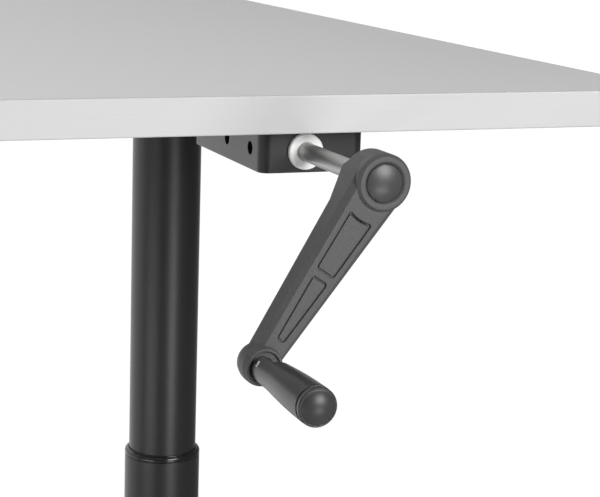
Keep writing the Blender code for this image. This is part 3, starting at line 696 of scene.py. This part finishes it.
low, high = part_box("crank_tube")
start, end = low.y / MM, high.y / MM
radius = tube_size.x / 2
hexagon = bmesh.new()
bmesh.ops.create_cone(hexagon, cap_ends=True, segments=6, radius1=HEX_HOLE / math.sqrt(3),
                      radius2=HEX_HOLE / math.sqrt(3), depth=(end - start) * HEX_OVERRUN)
bmesh.ops.rotate(hexagon, matrix=Matrix.Rotation(math.pi / 6, 3, "Z"), verts=hexagon.verts)
middle = Matrix.Translation((0, (start + end) / 2, 0))
bmesh.ops.transform(hexagon, matrix=middle @ ALONG_Y, verts=hexagon.verts)
bar = turned([(0, start), (radius, start, 0.3), (radius, end, 0.6), (0, end)], steps=72, axis="Y")
make_piece("crank_tube_ground", carve(bar, ("DIFFERENCE", hexagon)), bright_steel, "crank", "bright_steel",
           "crank_tube", placed=Matrix.Translation((axis_place.x, 0, axis_place.z)))


# ------------------------------------------------------------------ crank arm
# One moulding in dark grey glass-filled nylon with a fine sand texture: a round hub, a
# tapering arm with two panels set off by channels, and a boss for the handle. Cored behind.
ARM_GREY = (0.088, 0.088, 0.088)
ARM_BACK = 16.0
ARM_FRONT = (1.5, 4.0)                # depth of the arm's face behind the hub's, at hub and boss
ARM_START, ARM_STOP = 3.0, 108.0
ARM_HALF = (15.1, 8.3)                # half width at start and stop
ARM_ROOT = (-6.0, 13.9)               # where the arm's sides begin inside the hub, and its half width there
NECK_END = 22.0
NECK_SPREAD = (1.7, 4.0, 0.6, 0)      # how much wider the back is, at root, start, neck end and stop
ARM_CHAMFER = (3.4, 2.6)
CHANNEL_DEPTH, CHANNEL_FLAT, CHANNEL_WALL = 1.3, 1.0, 0.25
PANE_DROP = 0.2
PANEL_TOP_R = 22.6                    # the upper panel's top edge runs round the hub
PANELS = ((None, 56.5, 7.85, 6.2), (59.8, 98.5, 5.4, 2.8))   # start, end, half widths
PANEL_CORNER = 2.2
CORES = ((23.0, 44.0), (47.0, 69.0), (72.0, 95.0))
CORE_RIM, CORE_CORNER = 2.8, 1.5
CORE_DEPTH, CORE_DRAFT = 6.5, 0.4
SHOULDER = 0.9                        # depth of the chamfer as a share of its width
# radius, depth behind the hub's face and fillet, round the turned hub and round the boss
HUB_OUTLINE = ((0, 2.6), (10.5, 2.6, 0.2), (10.5, 0.9), (11.5, 0.1, 0.2), (12.0, 0, 0.1), (13.8, 0, 0.2),
               (15.5, 1.8, 0.3), (15.5, 21, 0.8), (5.6, 21, 0.3), (5.6, 4.8), (0, 4.8))
BOSS_OUTLINE = ((5.2, 2.6, 0.2), (8.1, 2.6, 0.3), (8.6, 1.0, 0.25), (9.9, 1.0, 0.35), (10.3, 2.6, 0.3),
                (11.1, 5.0, 0.6), (11.1, 11.5, 1.5), (10.2, ARM_BACK, 0.5), (5.2, ARM_BACK, 0.3))
SLAB_R = (13.0, 6.5)                  # the arm ends inside the walls of hub and boss

boss_place = place_of("handle_spindle")[0]
hub_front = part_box("crank_arm")[0].y / MM
reach = Vector((axis_place.x - boss_place.x, axis_place.z - boss_place.z))
arm_length, arm_angle = reach.length, math.atan2(reach.x, reach.y)
crank_frame = (Matrix.Translation((axis_place.x, hub_front, axis_place.z))
               @ Matrix.Rotation(arm_angle, 4, "Y"))


def along_arm(pair, distance):
    """Value at a distance from the hub, of a pair given at the arm's start and stop."""
    return pair[0] + (pair[1] - pair[0]) * (distance - ARM_START) / (ARM_STOP - ARM_START)


def eased(outline, corners, radius):
    """An outline with some of its corners rounded."""
    bm = bmesh.new()
    points = [bm.verts.new((across, along, 0)) for across, along in outline]
    bm.faces.new(points)
    round_off(bm, [points[corner] for corner in corners], radius, "VERTICES")
    bm.faces.ensure_lookup_table()
    rounded = [(v.co.x, v.co.y) for v in bm.faces[0].verts]
    bm.free()
    return rounded


def loop_on(bm, outline, depth):
    """Closed loop of corners through (across, along) points, at a depth that may vary along the arm."""
    verts = [bm.verts.new((across, depth(along), -along)) for across, along in outline]
    for number, vert in enumerate(verts):
        bm.edges.new((verts[number - 1], vert))
    return verts


def edges_of(*loops):
    """The edges that run round some loops of corners."""
    return [edge for loop in loops for edge in {e for v in loop for e in v.link_edges
                                                if e.other_vert(v) in loop}]


def half_of(loop, way):
    """The corners of a loop on one side of the arm's middle line, from its near end to its far end."""
    near = max((v for v in loop if abs(v.co.x) < 0.001), key=lambda v: v.co.z)
    start = loop.index(near)
    for turn in (1, -1):
        path = [near]
        while len(path) == 1 or abs(path[-1].co.x) > 0.001:
            path.append(loop[(start + turn * len(path)) % len(loop)])
        if path[1].co.x * way > 0:
            return path


def fill_round(bm, rim, holes):
    """Fills a loop round the holes along its middle line, as a left and a right half."""
    for way in (1, -1):
        path = half_of(rim, way)
        for hole in reversed(holes):
            path += reversed(half_of(hole, way))
        bm.faces.new(path)


def slab_outline(inset, spread=0):
    """The arm's outline, drawn in by a share of its chamfer or spread by a share of its neck."""
    sides = [(along, half - inset * along_arm(ARM_CHAMFER, along) + spread * more)
             for (along, half), more in zip((ARM_ROOT, *((along, along_arm(ARM_HALF, along))
                                                         for along in (ARM_START, NECK_END, ARM_STOP))),
                                            NECK_SPREAD)]
    near = [(SLAB_R[0] * math.sin(math.radians(a)), SLAB_R[0] * math.cos(math.radians(a)))
            for a in range(-50, 51, 10)]
    far = [(SLAB_R[1] * math.sin(math.radians(a)), arm_length - SLAB_R[1] * math.cos(math.radians(a)))
           for a in range(40, -41, -10)]
    left = [(-half, along) for along, half in reversed(sides)]
    right = [(half, along) for along, half in sides]
    return left + near + right + far


moulding = bmesh.new()
face_rim = loop_on(moulding, slab_outline(1), lambda along: along_arm(ARM_FRONT, along))
shoulder = loop_on(moulding, slab_outline(0),
                   lambda along: along_arm(ARM_FRONT, along) + along_arm(ARM_CHAMFER, along) * SHOULDER)
back_rim = loop_on(moulding, slab_outline(0, 1), lambda along: ARM_BACK)
bmesh.ops.bridge_loops(moulding, edges=edges_of(face_rim, shoulder))
bmesh.ops.bridge_loops(moulding, edges=edges_of(shoulder, back_rim))
pane_loops, pocket_loops = [], []
for first, last, half_first, half_last in PANELS:
    top = [(-half_first, first), (0, first), (half_first, first)]
    if first is None:
        spread = math.asin(half_first / PANEL_TOP_R)
        top = [(PANEL_TOP_R * math.sin(spread * share / 2), PANEL_TOP_R * math.cos(spread * share / 2))
               for share in range(-2, 3)]
    outline = eased(top + [(half_last, last), (0, last), (-half_last, last)],
                    (0, len(top) - 1, len(top), len(top) + 2), PANEL_CORNER)
    pane_loops.append(loop_on(moulding, outline, lambda along: along_arm(ARM_FRONT, along)))
for first, last in CORES:
    wide, narrow = (along_arm(ARM_HALF, along) - CORE_RIM for along in (first, last))
    outline = eased([(-wide, first), (0, first), (wide, first), (narrow, last), (0, last), (-narrow, last)],
                    (0, 2, 3, 5), CORE_CORNER)
    pocket_loops.append(loop_on(moulding, outline, lambda along: ARM_BACK))
fill_round(moulding, face_rim, pane_loops)
fill_round(moulding, back_rim, pocket_loops)
panes = [moulding.faces.new(loop) for loop in pane_loops]
pockets = [moulding.faces.new(loop) for loop in pocket_loops]
bmesh.ops.recalc_face_normals(moulding, faces=moulding.faces)
for pane in panes:
    for thickness, depth in ((CHANNEL_WALL, -CHANNEL_DEPTH), (CHANNEL_FLAT, 0),
                             (CHANNEL_WALL, CHANNEL_DEPTH - PANE_DROP)):
        bmesh.ops.inset_region(moulding, faces=[pane], thickness=thickness, depth=depth, use_even_offset=True)
for pocket in pockets:
    bmesh.ops.inset_region(moulding, faces=[pocket], thickness=CORE_DRAFT, depth=-CORE_DEPTH,
                           use_even_offset=True)
add_to(moulding, turned(HUB_OUTLINE, steps=144, axis="Y"))
add_to(moulding, turned(BOSS_OUTLINE, steps=112, axis="Y", at=(0, 0, -arm_length)))
sand_texture = new_finish("dark_grey_plastic", ARM_GREY, 0.54, tint=0.03, swing=0.03, patch=30, grain=1500,
                          height=0.11, speckle=0.28)
ease_edges(make_piece("crank_moulding", moulding, sand_texture, "crank", "dark_grey_plastic", "crank_arm",
                      placed=crank_frame), 0.2)


# ------------------------------------------------------------------ hub cap
# Domed cap in glossy black plastic, snapped into the hub over the tube's end. It is left
# plain, with a small notch at its rim for prising it out.
CAP_R = 10.2
CAP_DOME = (0.5, -1.55)               # depth of the dome's rim and of its middle
CAP_BACK, CAP_LIP, CAP_EDGE = 2.3, 0.7, 0.25
NOTCH_R, NOTCH_DEPTH = 1.0, 1.2
DOME_STEPS = 12


def dome(radius, rim, middle):
    """Points of a shallow dome from its rim to its middle, as (radius, height)."""
    rise = abs(middle - rim)
    ball = (radius ** 2 + rise ** 2) / (2 * rise)
    sign = 1 if middle > rim else -1
    points = []
    for step in range(DOME_STEPS + 1):
        out = radius * (1 - step / DOME_STEPS)
        points.append((out, rim + sign * (rise - ball + math.sqrt(ball ** 2 - out ** 2))))
    return points


cap_plastic = new_finish("gloss_black_plastic", (0.062, 0.062, 0.062), 0.36, tint=0.05, swing=0.02, patch=80,
                         grain=700, height=0.004)
cap = turned([(0, CAP_BACK), (CAP_R, CAP_BACK, 0.2), (CAP_R, CAP_LIP, 0.15),
              *dome(CAP_R - CAP_EDGE, *CAP_DOME)], steps=128, axis="Y")
notch = rod(NOTCH_R, -3, NOTCH_DEPTH, steps=24, axis="Y", at=(0, 0, -CAP_R - 0.1))
make_piece("hub_cover", carve(cap, ("DIFFERENCE", notch)), cap_plastic, "crank", "gloss_black_plastic",
           "hub_cap", placed=crank_frame)


# ------------------------------------------------------------------ handle spindle and fold pin
# Zinc-plated steel stem that turns in the arm's boss. Its flat tongue stands in the grip's
# slot, and a bright steel pin through both lets the grip fold over against the arm.
PIVOT = 5.0                           # the pin's distance in front of the hub's face
PIN_R, PIN_HALF = 1.8, 7.9
PIN_SHANK_R, PIN_SHANK_HALF = 1.45, 3.2   # thinner where it passes through the tongue

spindle = make_piece("spindle_forging", cad_copy("handle_spindle"), zinc, "spindle", "zinc_plated_steel",
                     "handle_spindle")
ease_edges(spindle, 0.2)
pin = turned([(0, -PIN_HALF), (PIN_R, -PIN_HALF, 0.35), (PIN_R, -PIN_SHANK_HALF),
              (PIN_SHANK_R, -PIN_SHANK_HALF), (PIN_SHANK_R, PIN_SHANK_HALF), (PIN_R, PIN_SHANK_HALF),
              (PIN_R, PIN_HALF, 0.35), (0, PIN_HALF)], steps=40, axis="X")
fold_frame = crank_frame @ Matrix.Translation((0, -PIVOT, -arm_length))
pin_steel = new_finish("pin_steel", (0.85, 0.85, 0.84), 0.18, metallic=1.0, tint=0.02, patch=200, grain=1500,
                       height=0.002)
make_piece("fold_pin_bright", pin, pin_steel, "grip", "bright_steel", "fold_pin", placed=fold_frame)


# ------------------------------------------------------------------ grip
# Smooth black plastic handle that widens towards its tip. The root is slotted for the
# tongue and cut away on the hub side, and a domed cap closes the tip.
GRIP_OUTLINE = ((7.6, -5.0), (8.1, -3.8), (8.2, 2.0), (8.4, 12.0), (8.9, 20.0), (9.5, 30.0), (9.95, 40.0),
                (10.2, 50.0))
GRIP_R = 10.3
GRIP_BODY, GRIP_TIP, GRIP_DOME = 62.0, 66.0, 69.2
SLOT_HALF = 2.9
PIN_HOLE_R = 1.95
CUT_HALF = 12                         # half the length of the cuts across the grip
RELIEF_REACH = 5.2

grip_plastic = new_finish("grip_black_plastic", (0.016, 0.016, 0.016), 0.30, tint=0.05, swing=0.02, patch=40,
                          grain=900, height=0.005)
outline = [(0, 5.0), *((r, -out) for r, out in GRIP_OUTLINE), (GRIP_R, -GRIP_BODY, 0.5), (0, -GRIP_BODY)]
body = turned(outline, steps=112, axis="Y")
slot = box((-SLOT_HALF, -4.8, -4.6), (SLOT_HALF, 10, 12))
nose = [(RELIEF_REACH * math.cos(math.radians(a)), RELIEF_REACH * math.sin(math.radians(a)))
        for a in range(0, 91, 15)]
relief = bmesh.new()
cheek = [(12.0, -15.0), (8.8, -15.0), (RELIEF_REACH, -11.5), *nose, (0, 10), (12.0, 10)]
relief.faces.new([relief.verts.new((-CUT_HALF, depth, height)) for height, depth in cheek])
extrude(relief, (2 * CUT_HALF, 0, 0))
hole = rod(PIN_HOLE_R, -CUT_HALF, CUT_HALF, steps=40, axis="X")
cuts = [("DIFFERENCE", shape) for shape in (slot, relief, hole)]
handle = make_piece("grip_body", carve(body, *cuts), grip_plastic, "grip", "gloss_black_plastic",
                    "handle_grip", placed=fold_frame)
ease_edges(handle, 0.3)
tip = turned([(0, -GRIP_BODY - 0.3), (GRIP_R - 0.3, -GRIP_BODY - 0.3, 0.5),
              (GRIP_R - 0.1, -GRIP_TIP + 0.4, 0.9), (GRIP_R - 1.0, -GRIP_TIP - 0.1, 0.3),
              (GRIP_R - 1.3, -GRIP_TIP + 0.25, 0.1), *dome(GRIP_R - 1.7, -GRIP_TIP + 0.1, -GRIP_DOME)],
             steps=112, axis="Y")
tip_plastic = new_finish("tip_black_plastic", (0.045, 0.045, 0.045), 0.40, tint=0.05, swing=0.02, patch=60,
                         grain=900, height=0.004)
make_piece("grip_tip", tip, tip_plastic, "grip", "gloss_black_plastic", "grip_cap", placed=fold_frame)
